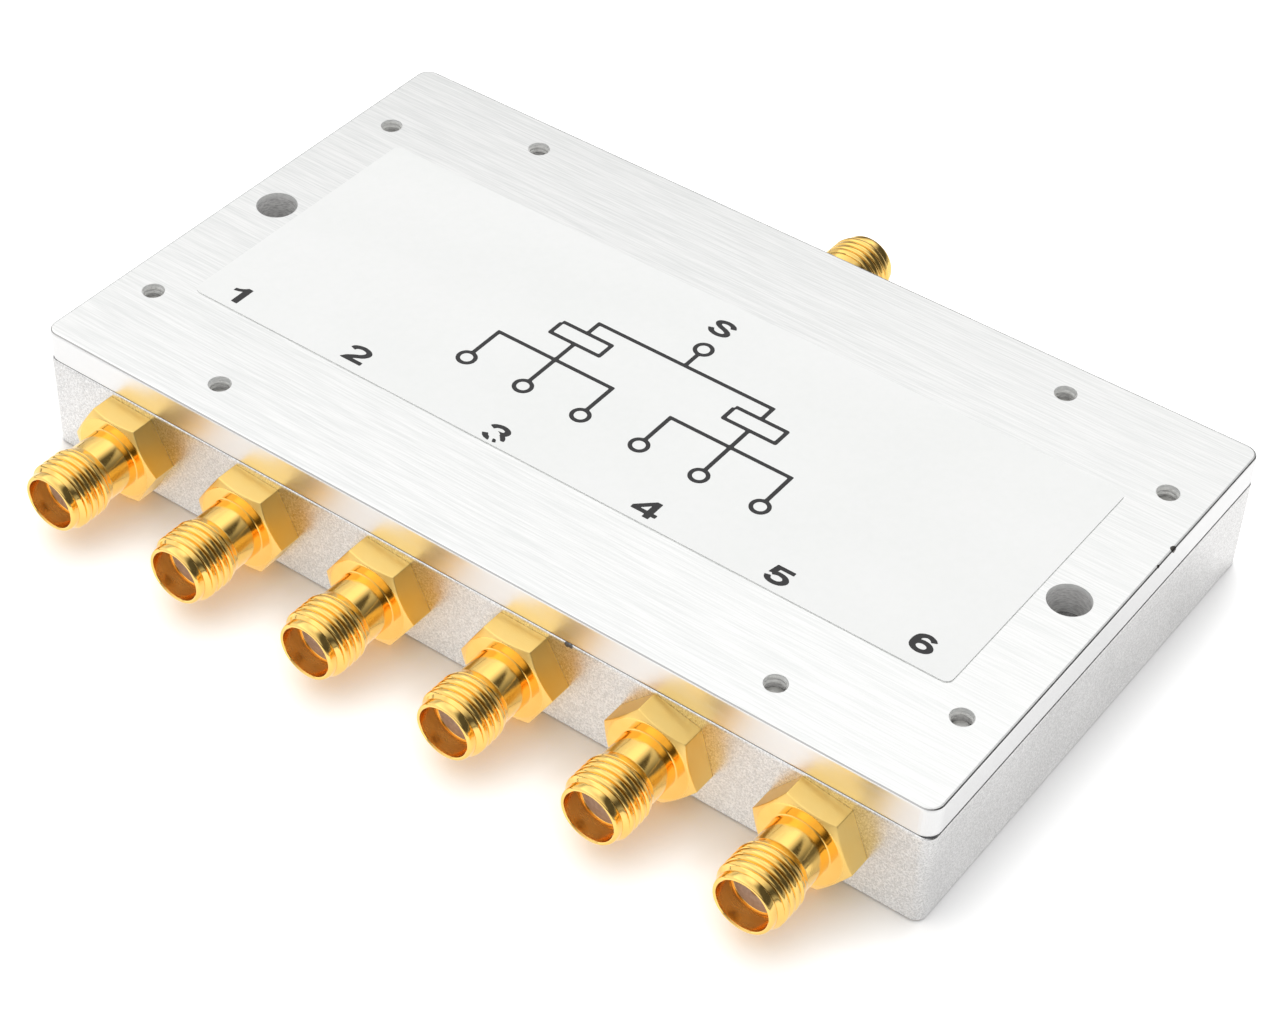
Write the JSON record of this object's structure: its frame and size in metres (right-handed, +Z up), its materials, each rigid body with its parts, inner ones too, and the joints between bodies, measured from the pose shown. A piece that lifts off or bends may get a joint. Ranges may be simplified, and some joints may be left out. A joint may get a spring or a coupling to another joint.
{
  "type": "rf power splitter",
  "caption": "Flat milled aluminium case with a screwed cover and label, a row of gold threaded coaxial ports on one long side and the sum port on the other, dividing one RF signal equally.",
  "frame": {"origin": "centre of the base of the case", "axes": "+X along the row of output ports from port 1 to port 6, +Y from the outputs to the sum port, +Z up through the cover"},
  "size_m": [0.0888, 0.0708, 0.0124],
  "materials": {
    "case": "bead blasted",
    "cover": "brushed along the length",
    "label": "white film with black print",
    "gold": "gold plated, turned",
    "steel": "bare",
    "insulator": "white fluoropolymer",
    "board": "glass laminate",
    "copper": "bare copper foil",
    "ferrite": "sintered, dark grey",
    "winding": "enamelled copper wire",
    "chip": "black chip body"
  },
  "bodies": {
    "root": {"housing": "case", "cover_plate": "cover", "label": "label", "cover_screws": "steel", "circuit_board": "board", "tracks": "copper", "ferrite_cores": "ferrite", "windings": "winding", "isolation_resistors": "chip", "board_screws": "steel", "port_1_body": "gold", "port_2_body": "gold", "port_3_body": "gold", "port_4_body": "gold", "port_5_body": "gold", "port_6_body": "gold", "sum_port_body": "gold", "port_1_insulator": "insulator", "port_2_insulator": "insulator", "port_3_insulator": "insulator", "port_4_insulator": "insulator", "port_5_insulator": "insulator", "port_6_insulator": "insulator", "sum_port_insulator": "insulator", "port_1_contact": "gold", "port_2_contact": "gold", "port_3_contact": "gold", "port_4_contact": "gold", "port_5_contact": "gold", "port_6_contact": "gold", "sum_port_contact": "gold"}
  },
  "joints": []
}
